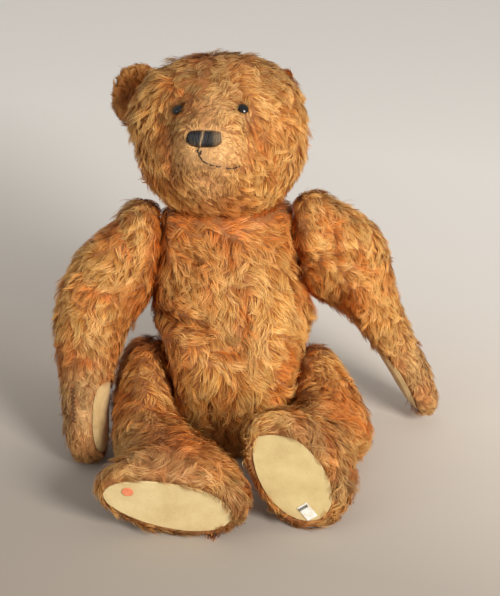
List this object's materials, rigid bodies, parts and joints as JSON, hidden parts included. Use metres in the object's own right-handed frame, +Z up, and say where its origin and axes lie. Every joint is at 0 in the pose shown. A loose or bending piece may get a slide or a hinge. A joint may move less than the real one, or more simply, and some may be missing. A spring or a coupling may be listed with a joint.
{
  "type": "teddy bear",
  "caption": "Worn jointed mohair teddy bear sitting up, one ear lost, felt pads, boot-button eyes and part of its stitched mouth gone.",
  "frame": {"origin": "middle of the flat seat under the torso, on the floor", "axes": "+X to the bear's left, +Y to its back, +Z up from the seat"},
  "size_m": [0.3866, 0.34, 0.3871],
  "materials": {
    "mohair": "matt wavy pile",
    "felt": "matt, soiled",
    "black_thread": "satin",
    "boot_button": "glossy black varnish",
    "hardboard": "matt",
    "steel": "dull",
    "white_tape": "matt",
    "orange_sticker": "matt"
  },
  "bodies": {
    "torso": {"torso": "mohair", "neck_body_disc": "hardboard", "neck_body_washer": "steel", "shoulder_right_body_disc": "hardboard", "shoulder_right_body_washer": "steel", "shoulder_left_body_disc": "hardboard", "shoulder_left_body_washer": "steel", "hip_right_body_disc": "hardboard", "hip_right_body_washer": "steel", "hip_left_body_disc": "hardboard", "hip_left_body_washer": "steel"},
    "head": {"head": "mohair", "ear_right": "mohair", "ear_left_remnant": "mohair", "eye_right": "boot_button", "eye_left": "boot_button", "nose_stitching": "black_thread", "mouth_centre_thread": "black_thread", "mouth_left_thread": "black_thread", "mouth_right_thread": "black_thread", "neck_head_disc": "hardboard", "neck_head_washer": "steel", "neck_pin": "steel"},
    "right_arm": {"arm_right": "mohair", "paw_pad_right": "felt", "forearm_repair_thread": "black_thread", "shoulder_right_arm_disc": "hardboard", "shoulder_right_arm_washer": "steel", "shoulder_right_pin": "steel"},
    "left_arm": {"arm_left": "mohair", "paw_pad_left": "felt", "shoulder_left_arm_disc": "hardboard", "shoulder_left_arm_washer": "steel", "shoulder_left_pin": "steel"},
    "right_leg": {"leg_right": "mohair", "foot_pad_right": "felt", "sole_sticker": "orange_sticker", "hip_right_leg_disc": "hardboard", "hip_right_leg_washer": "steel", "hip_right_pin": "steel"},
    "left_leg": {"leg_left": "mohair", "foot_pad_left": "felt", "sole_tag": "white_tape", "sole_tag_thread": "black_thread", "hip_left_leg_disc": "hardboard", "hip_left_leg_washer": "steel", "hip_left_pin": "steel"}
  },
  "joints": [
    {"name": "neck_swivel", "type": "hinge", "parent": "torso", "child": "head", "pos_m": [-0.00837, 0.04987, 0.23461], "axis": [-0.0349, 0.2078, 0.9776], "range_deg": [-80, 80]},
    {"name": "right_shoulder", "type": "hinge", "parent": "torso", "child": "right_arm", "pos_m": [-0.07298, 0.04156, 0.19551], "axis": [-1, 0, 0], "range_deg": [-60, 100]},
    {"name": "left_shoulder", "type": "hinge", "parent": "torso", "child": "left_arm", "pos_m": [0.05902, 0.04156, 0.19551], "axis": [-1, 0, 0], "range_deg": [-60, 100]},
    {"name": "right_hip", "type": "hinge", "parent": "torso", "child": "right_leg", "pos_m": [-0.068, 0.008, 0.058], "axis": [-0.9781, -0.2079, 0], "range_deg": [-90, 35]},
    {"name": "left_hip", "type": "hinge", "parent": "torso", "child": "left_leg", "pos_m": [0.068, 0.008, 0.058], "axis": [-0.9703, 0.2419, 0], "range_deg": [-90, 40]}
  ]
}
